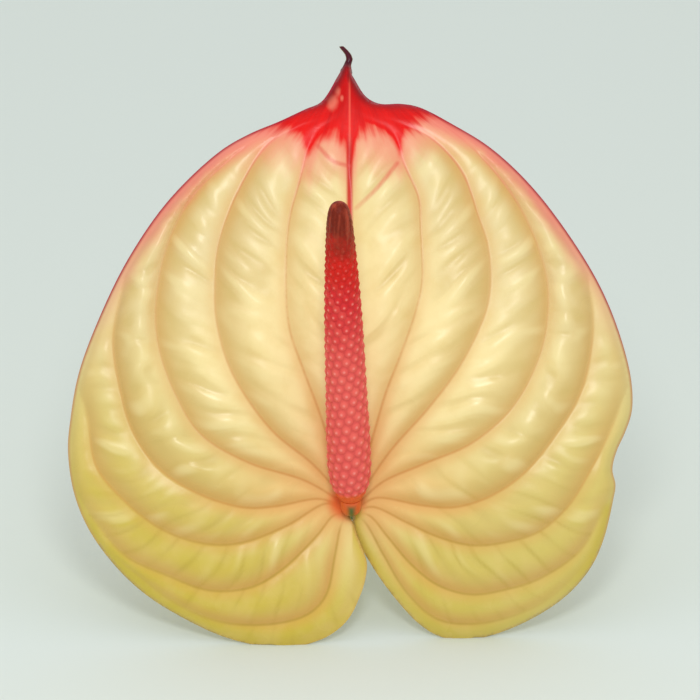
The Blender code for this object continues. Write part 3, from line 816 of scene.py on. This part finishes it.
def nearest_floret(angle, level, radius, rise):
    """Distance of each point to the nearest floret's middle, and a number from -1 to 1 for that floret."""
    (up_turn, up_rise), (aside_turn, aside_rise) = FLORETS_UP, FLORETS_ASIDE
    det = aside_turn * up_rise - aside_rise * up_turn
    i = (angle * up_rise - level * up_turn) / det
    j = (level * aside_turn - angle * aside_rise) / det
    best = np.full(angle.shape, 1e9)
    kind = np.zeros(angle.shape)
    for di in (0, 1):
        for dj in (0, 1):
            ci, cj = np.floor(i) + di, np.floor(j) + dj
            turn = (angle - ci * aside_turn - cj * up_turn) * radius
            lift = (level - ci * aside_rise - cj * up_rise) * rise
            away = np.hypot(turn, lift)
            closer = away < best
            best = np.where(closer, away, best)
            turns = np.floor(ci / ONCE_ROUND[0])
            aside, up = ci - ONCE_ROUND[0] * turns, cj + ONCE_ROUND[1] * turns
            kind = np.where(closer, np.sin(12.9898 * aside + 78.233 * up), kind)
    return best, kind


def neck_points(steps):
    """The neck's bend: an arc that starts along +w and ends along the spadix."""
    turn = math.pi / 2 - SPADIX_ANGLE
    points = []
    for k in range(steps + 1):
        a = turn * k / steps
        up = NECK_BEND * (1 - math.cos(a))
        points.append((-math.sin(SPADIX_SWAY) * up, up, NECK_START + NECK_BEND * math.sin(a)))
    return np.array(points)


def stalk_line():
    """Middle line of the stalk on the table, in millimetres, from the cut end to the top of the neck."""
    steps = range(STRAIGHT_STEPS - 1, 0, -1)
    straight = [(0.0, 0.0, NECK_START - STRAIGHT_RUN * k / STRAIGHT_STEPS) for k in steps]
    neck = to_table([*straight, *neck_points(NECK_STEPS)])
    start = to_table((0.0, 0.0, NECK_START - STRAIGHT_RUN))
    low = CUT_RADIUS * math.cos(math.pi / CAD_STALK_SIDES)
    bend = (start[2] - low) / (1 - math.cos(LEAN))
    points = [start]
    for k in range(1, BEND_STEPS + 1):
        a = LEAN * k / BEND_STEPS
        back = bend * (math.sin(LEAN) - math.sin(LEAN - a))
        down = bend * (math.cos(LEAN - a) - math.cos(LEAN))
        points.append(start + np.array((0.0, back, -down)))
    run = STALK_LENGTH - STRAIGHT_RUN - bend * LEAN
    for k in range(1, LYING_STEPS + 1):
        points.append(points[BEND_STEPS] + np.array((0.0, run * k / LYING_STEPS, 0.0)))
    line = np.concatenate([np.array(points)[::-1], neck])
    share = np.clip((line[:, 1] - start[1]) / (line[0, 1] - start[1]), 0.0, 1.0)
    line[:, 0] -= STALK_BOW * np.sin(math.pi * share) ** 2
    return line


def make_stalk():
    """The stalk as rings along its line, with its distance from the neck and the wedge of painted shade as
    guides.
    """
    line = stalk_line()
    length = lengths_along(line)
    from_neck = length[-1] - length
    widening = smooth((from_neck - SHOULDER_START) / SHOULDER_LENGTH)
    radius = NECK_RADIUS + (CUT_RADIUS - NECK_RADIUS) * widening
    run = np.gradient(line, axis=0)
    run[-1] = to_table(spadix_frame()[1]) - np.array(BASE_POINT)
    run[-1 - NECK_STEPS] = FACE_OUT
    spots = []
    for number, (middle, way, r) in enumerate(zip(line, run, radius)):
        way = way / np.linalg.norm(way)
        side = np.array((1.0, 0.0, 0.0)) - way * way[0]
        side /= np.linalg.norm(side)
        lift = np.cross(side, way)
        for k in range(STALK_SIDES):
            a = 2 * math.pi * (k + 0.5) / STALK_SIDES
            slant = way * CUT_SLANT * math.cos(a) if number == 0 else 0.0
            spot = middle + r * (math.cos(a) * side + math.sin(a) * lift) + slant
            spot[2] = max(spot[2], 0.0)
            spots.append(spot)
    u, v, _ = np.array([from_table(spot) for spot in spots]).T
    # The wedge on the neck's lower middle, which stays dark green as painted shade in the notch.
    shade_wedge = np.maximum(v, np.abs(u - SHADE_WEDGE_MIDDLE) - SHADE_WEDGE_WIDTH)
    guides = {"from_neck": np.repeat(from_neck, STALK_SIDES), "shade_wedge": shade_wedge}
    bm = bmesh.new()
    verts, _ = add_points(bm, np.array(spots) * MM, guides)
    rings = [verts[k : k + STALK_SIDES] for k in range(0, len(verts), STALK_SIDES)]
    add_tube(bm, rings)
    bm.faces.new(rings[-1])
    return bm


def put(thing):
    bpy.context.scene.collection.objects.link(thing)
    return thing


def finish_piece(bm, name, material):
    """The piece as an object, smooth but for its sharp edges."""
    bmesh.ops.recalc_face_normals(bm, faces=bm.faces)
    mesh = bpy.data.meshes.new(name)
    bm.to_mesh(mesh)
    bm.free()
    mesh.shade_smooth()
    mesh.set_sharp_from_angle(angle=math.radians(60.0))
    mesh.materials.append(material)
    return put(bpy.data.objects.new(name, mesh))


def srgb(red, green, blue):
    """A colour from its sRGB bytes, in linear light."""
    values = []
    for byte in (red, green, blue):
        x = byte / 255.0
        values.append(x / 12.92 if x <= 0.04045 else ((x + 0.055) / 1.055) ** 2.4)
    return (*values, 1.0)


class Painter:
    """Builds one material from small steps."""

    def __init__(self, name):
        self.material = bpy.data.materials.new(name)
        self.material.use_nodes = True
        self.tree = self.material.node_tree
        self.surface = self.tree.nodes["Principled BSDF"]
        self.colour = None

    def wire(self, source, socket):
        if isinstance(source, bpy.types.NodeSocket):
            self.tree.links.new(source, socket)
        else:
            socket.default_value = source

    def node(self, kind, **inputs):
        """A new node with its named inputs set or wired."""
        node = self.tree.nodes.new("ShaderNode" + kind)
        for name, value in inputs.items():
            self.wire(value, node.inputs[name.replace("_", " ")])
        return node

    def guide(self, name):
        node = self.node("Attribute")
        node.attribute_type = "GEOMETRY"
        node.attribute_name = name
        return node.outputs["Fac"]

    def math(self, operation, a, b=0.0):
        node = self.node("Math")
        node.operation = operation
        self.wire(a, node.inputs[0])
        self.wire(b, node.inputs[1])
        return node.outputs[0]

    def plus(self, a, b):
        return self.math("ADD", a, b)

    def minus(self, a, b):
        return self.math("SUBTRACT", a, b)

    def times(self, a, b):
        return self.math("MULTIPLY", a, b)

    def span(self, value, low, high, start=0.0, end=1.0):
        """Maps low to start and high to end, eased, and held outside."""
        node = self.node("MapRange", Value=value, From_Min=low, From_Max=high, To_Min=start, To_Max=end)
        node.interpolation_type = "SMOOTHSTEP"
        return node.outputs["Result"]

    def place(self, scale=(1.0, 1.0, 1.0)):
        where = self.node("TexCoord").outputs["Object"]
        return self.node("Mapping", Vector=where, Scale=scale).outputs["Vector"]

    def noise(self, vector, scale, detail=3.0):
        return self.node("TexNoise", Vector=vector, Scale=scale, Detail=detail).outputs["Fac"]

    def reach(self, u, v, centre):
        """Distance of (u, v) from a centre."""
        along = self.minus(u, centre[0])
        up = self.minus(v, centre[1])
        return self.math("SQRT", self.plus(self.times(along, along), self.times(up, up)))

    def mix(self, share, a, b):
        """Colour a with a share of colour b, where a colour is wired or given in sRGB bytes."""
        node = self.node("Mix")
        node.data_type = "RGBA"
        self.wire(share, node.inputs["Factor"])
        for name, colour in (("A", a), ("B", b)):
            self.wire(srgb(*colour) if isinstance(colour, tuple) else colour, node.inputs[name])
        return node.outputs["Result"]

    def coat(self, colour, share, *factors):
        """Lays a colour over the piece's colour so far, as strongly as the product of its shares."""
        for factor in factors:
            share = self.times(share, factor)
        self.colour = self.mix(share, self.colour, colour)

    def bump(self, height, distance, strength):
        return self.node("Bump", Strength=strength, Distance=distance, Height=height).outputs["Normal"]

    def finish(self, roughness, normal, **settings):
        self.wire(self.colour, self.surface.inputs["Base Color"])
        self.wire(roughness, self.surface.inputs["Roughness"])
        self.wire(normal, self.surface.inputs["Normal"])
        for name, value in settings.items():
            self.wire(value, self.surface.inputs[name.replace("_", " ")])
        return self.material


def spathe_material():
    """Cream tissue, olive towards the lobes and peach at the base, with its veins, rim and red tip, and
    painted shade and highlights on the bands.
    """
    paint = Painter("spathe")
    u, v, rim, vein = (paint.guide(name) for name in ("u", "v", "rim", "vein"))
    spot = paint.place()
    cloud = paint.noise(spot, 55.0)
    patch = paint.noise(spot, 160.0)
    tissue(paint, u, v, cloud, patch)
    # Painted shade on the outer side of each band and in the vein grooves.
    paint.coat((204, 168, 98), paint.guide("flank_shade"), 0.68)
    # Painted shade in the fold hollows and painted highlights on the fold crests, weaker in the lower
    # lobes.
    fold_shade_and_highlight = paint.times(paint.guide("fold_shade_and_highlight"), paint.span(v, -20.0, 6.0, 0.3, 1.1))
    paint.coat((205, 178, 104), paint.span(fold_shade_and_highlight, 0.0, -0.5, 0.0, 0.36))
    paint.coat((255, 240, 180), paint.span(fold_shade_and_highlight, 0.0, 0.6, 0.0, 0.32))
    faint = paint.span(paint.noise(spot, 90.0, 1.0), 0.35, 0.65)
    paint.coat((176, 152, 56), paint.guide("cross"), paint.span(v, 14.0, -6.0, 0.04, 0.36), faint)
    vein_coats(paint, u, v, vein)
    throat = paint.reach(u, v, (-1.0, 0.8))
    paint.coat((230, 98, 38), paint.span(throat, 2.0, 5.4, 0.95, 0.0))
    lap = paint.times(paint.span(rim, 0.3, 3.4, 0.75, 0.0), paint.span(u, 0.0, 0.6))
    paint.coat((208, 182, 60), lap, paint.span(v, -20.0, -12.0), paint.span(v, 2.0, -1.0))
    blush(paint, u, v, rim, vein, patch)
    link = paint.span(paint.guide("link"), 0.05, 0.8, 0.6, 0.0)
    paint.coat((222, 84, 70), link, paint.span(v, 64.0, 72.0, 0.4, 1.0))
    edge_colour = paint.mix(paint.span(v, 20.0, 50.0), (200, 148, 100), (168, 26, 48))
    upper = paint.span(v, -30.0, 30.0, 0.3, 1.0)
    paint.coat(edge_colour, paint.span(rim, 0.05, 0.8, 0.95, 0.0), upper)
    paint.coat((74, 10, 30), paint.span(v, 95.2, 98.0))
    back = paint.mix(0.45, paint.colour, (214, 206, 128))
    paint.colour = paint.mix(paint.guide("front"), back, paint.colour)
    normal = paint.bump(paint.noise(spot, 900.0, 2.0), 0.00003, 0.4)
    return paint.finish(paint.span(cloud, 0.3, 0.7, 0.23, 0.31), normal, Specular_IOR_Level=0.2)


def tissue(paint, u, v, cloud, patch):
    """The ground colour: cream above, olive in the lobes, peach between the veins round the stalk, and a
    painted pool of light round the blade's middle.
    """
    wide = paint.math("ABSOLUTE", u)
    low = paint.plus(paint.minus(paint.times(wide, 0.4), v), paint.times(cloud, 16.0))
    olive = paint.mix(paint.span(u, 0.0, 42.0), (206, 184, 72), (212, 192, 100))
    paint.colour = paint.mix(paint.span(low, -26.0, 43.0), (234, 214, 158), olive)
    # A painted pool of light: lighter cream round the blade's middle, fading outwards.
    middle = paint.plus(wide, paint.math("ABSOLUTE", paint.minus(v, 32.0)))
    paint.coat((255, 236, 170), paint.span(middle, 24.0, 62.0, 0.72, 0.0))
    paint.coat((228, 200, 124), paint.span(patch, 0.4, 0.75, 0.0, 0.35))
    below = paint.math("MAXIMUM", paint.times(v, -2.0), 0.0)
    down = paint.plus(paint.math("ABSOLUTE", v), below)
    from_base = paint.plus(paint.times(wide, 0.75), down)
    paint.coat((245, 190, 118), paint.span(from_base, 3.0, 34.0, 0.68, 0.0))


def vein_coats(paint, u, v, vein):
    """A soft band along the veins, partly their own orange and partly painted shade of their grooves, and a
    fine line in each, stronger near the base and fading at the rim.
    """
    inner = paint.span(paint.reach(u, v, (0.0, 0.0)), 15.0, 50.0, 1.0, 0.5)
    inner = paint.plus(inner, paint.span(v, 52.0, 76.0, 0.0, 0.45))
    strength = paint.times(paint.guide("strength"), paint.times(inner, paint.span(v, 88.0, 80.0)))
    # The soft band along each vein: partly the veins' own orange, partly painted shade of the grooves.
    paint.coat((222, 156, 80), paint.span(vein, 0.2, 3.2, 0.42, 0.0), strength)
    line_colour = paint.mix(paint.span(v, -14.0, 6.0), (168, 138, 44), (204, 134, 66))
    line_colour = paint.mix(paint.span(v, 60.0, 78.0), line_colour, (216, 104, 82))
    paint.coat(line_colour, paint.span(vein, 0.0, 0.5, 0.55, 0.0), strength)


def blush(paint, u, v, rim, vein, patch):
    """The red tip with its streaks, painted highlight spots and a painted highlight on its crease, the pink
    below it and along the upper rims, the red midrib, and the tip's dark rim, part own colour and part
    painted shade.
    """
    turn = paint.math("DIVIDE", u, paint.minus(99.0, v))
    fan = paint.node("CombineXYZ", X=paint.times(turn, 12.0), Y=paint.times(v, 0.1))
    rays = paint.minus(paint.noise(fan.outputs["Vector"], 1.0, 2.0), 0.5)
    uneven = paint.minus(patch, 0.5)
    ragged = paint.plus(rim, paint.times(uneven, 3.0))
    paint.coat((240, 112, 104), paint.span(ragged, 0.3, 4.8, 0.85, 0.0), paint.span(v, 28.0, 70.0))
    drift = paint.plus(paint.times(rays, 5.0), paint.times(uneven, 5.0))
    vein_red = paint.times(paint.span(vein, 0.1, 1.2, 2.6, 0.0), paint.span(v, 66.0, 80.0))
    vein_red = paint.times(vein_red, paint.span(paint.math("ABSOLUTE", u), 15.0, 8.0))
    red = paint.plus(paint.plus(paint.guide("red"), drift), vein_red)
    paint.coat((245, 140, 122), paint.span(red, -13.0, -1.0, 0.0, 0.75))
    paint.coat((236, 12, 6), paint.span(red, -3.4, 1.8))
    deep = paint.plus(v, paint.times(rays, 14.0))
    paint.coat((196, 0, 2), paint.span(deep, 81.0, 91.0, 0.0, 0.85))
    wide = paint.math("ABSOLUTE", paint.plus(u, 0.3))
    midrib = paint.span(wide, 0.2, 1.0, 0.95, 0.0)
    paint.coat((206, 40, 30), midrib, paint.span(v, 50.0, 64.0), paint.span(v, 84.0, 79.0))
    # A painted highlight: a pale line along the midrib's crease in the red tip.
    paint.coat((250, 110, 84), paint.span(wide, 0.05, 0.35, 0.5, 0.0), paint.span(v, 78.0, 82.0))
    # Pale spots painted as highlights on the red tip.
    for centre, size in PAINTED_TIP_HIGHLIGHTS:
        gap = paint.reach(u, paint.times(v, 0.6), (centre[0], 0.6 * centre[1]))
        gap = paint.plus(gap, paint.times(uneven, 2.4 * size))
        paint.coat((255, 150, 122), paint.span(gap, 0.1 * size, size, 0.5, 0.0))
    # The tip's rim dark maroon: partly its own colour, partly painted shade where the rolled rim turns
    # away.
    paint.coat((122, 0, 12), paint.span(rim, 0.3, 2.4, 0.9, 0.0), paint.span(v, 85.0, 91.0))


def spadix_material():
    """Coral at the foot, crimson above and dark brown at the tip, with a light stigma on each floret and
    painted shade between the florets.
    """
    paint = Painter("spadix")
    up, dot, gap, kind = (paint.guide(name) for name in ("up", "dot", "gap", "kind"))
    cloud = paint.noise(paint.place(), 260.0, 2.0)
    high = paint.plus(up, paint.times(paint.minus(cloud, 0.5), 9.0))
    paint.colour = paint.mix(paint.span(high, 30.0, 53.0), (236, 96, 88), (216, 42, 44))
    paint.coat((208, 26, 12), paint.span(high, 50.0, 58.0))
    streak = paint.noise(paint.place((1.0, 1.0, 0.12)), 900.0, 2.0)
    brown = paint.mix(paint.span(streak, 0.35, 0.7), (112, 26, 2), (164, 62, 38))
    paint.coat(brown, paint.span(paint.plus(high, paint.times(streak, 8.0)), 62.0, 73.0))
    # Painted shade in the hollows between the florets, on the lower part of the spike.
    paint.coat((178, 36, 48), paint.span(gap, 0.25, 1.0, 0.0, 0.28), paint.span(up, 62.0, 52.0))
    paint.coat((255, 162, 152), dot, paint.span(up, 67.0, 48.0, 0.0, 0.66))
    paint.coat((250, 124, 104), paint.span(kind, 0.2, 1.0, 0.0, 0.14), paint.span(up, 60.0, 50.0))
    paint.coat((226, 92, 34), paint.span(up, 3.4, 2.0, 0.0, 0.95))
    normal = paint.bump(paint.noise(paint.place(), 3000.0), 0.00003, 0.5)
    return paint.finish(paint.span(cloud, 0.3, 0.7, 0.36, 0.5), normal, Specular_IOR_Level=0.2)


def stalk_material():
    """Green with fine lengthwise streaks; the neck in front of the blade is orange but for a wedge of dark
    green painted shade.
    """
    paint = Painter("peduncle")
    streak = paint.noise(paint.place((1.0, 0.06, 1.0)), 700.0)
    from_neck = paint.guide("from_neck")
    paint.colour = paint.mix(streak, (110, 140, 50), (140, 165, 75))
    neck = paint.span(from_neck, 3.5, 6.0, 1.0, 0.0)
    # The neck painted dark green as painted shade; the orange over it leaves only the wedge dark.
    paint.coat((74, 92, 26), neck)
    paint.coat((222, 92, 30), neck, paint.span(paint.guide("shade_wedge"), -0.9, 0.5))
    paint.coat((186, 190, 128), paint.span(from_neck, STALK_LENGTH - 1.0, STALK_LENGTH + 6.0))
    normal = paint.bump(streak, 0.0001, 0.5)
    return paint.finish(paint.span(streak, 0.3, 0.7, 0.36, 0.46), normal)


def make_floor():
    paint = Painter("floor")
    paint.surface.inputs["Base Color"].default_value = srgb(222, 232, 226)
    paint.surface.inputs["Roughness"].default_value = 0.9
    bm = bmesh.new()
    corners = ((-1, -1), (1, -1), (1, 1), (-1, 1))
    bm.faces.new([bm.verts.new((x * FLOOR_HALF, y * FLOOR_HALF, 0.0)) for x, y in corners])
    finish_piece(bm, "floor", paint.material)


def face_point(u, v, w):
    return Vector(to_table((u, v, w)) * MM)


def aim(thing, eye, target):
    """Puts a camera or a light at a point and turns it to a target, upright with the bloom."""
    back = (eye - target).normalized()
    right = Vector(FACE_RIGHT)
    up = back.cross(right).normalized()
    right = up.cross(back)
    turn = Matrix((right, up, back)).transposed()
    thing.matrix_world = Matrix.Translation(eye) @ turn.to_4x4()


def make_camera():
    data = bpy.data.cameras.new("camera")
    data.sensor_width = SENSOR
    data.lens = SENSOR * CAMERA_DISTANCE / (FRAME_WIDTH * MM)
    camera = put(bpy.data.objects.new("camera", data))
    aim(camera, face_point(*FRAME_CENTRE, CAMERA_DISTANCE / MM), face_point(*FRAME_CENTRE, 0.0))
    bpy.context.scene.camera = camera


def make_light(name, eye, target, size, power):
    data = bpy.data.lights.new(name, "AREA")
    data.shape = "DISK"
    data.size = size
    data.energy = power
    light = put(bpy.data.objects.new(name, data))
    light.visible_camera = False
    aim(light, face_point(*eye), face_point(*target))


def make_studio():
    world = bpy.data.worlds.new("studio")
    world.use_nodes = True
    background = world.node_tree.nodes["Background"]
    background.inputs["Color"].default_value = (1.0, 1.0, 1.0, 1.0)
    background.inputs["Strength"].default_value = SURROUND
    bpy.context.scene.world = world
    bpy.context.scene.view_settings.view_transform = "Standard"
    for name, (eye, target, size, power) in LIGHTS.items():
        make_light(name, eye, target, size, power)


def dress(piece, node):
    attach(piece, "root")
    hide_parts(node)


def main():
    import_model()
    dress(finish_piece(make_blade(), "spathe_blade", spathe_material()), "spathe")
    dress(finish_piece(make_spadix(), "spadix_spike", spadix_material()), "spadix")
    dress(finish_piece(make_stalk(), "peduncle_stalk", stalk_material()), "peduncle")
    make_floor()
    make_camera()
    make_studio()


main()
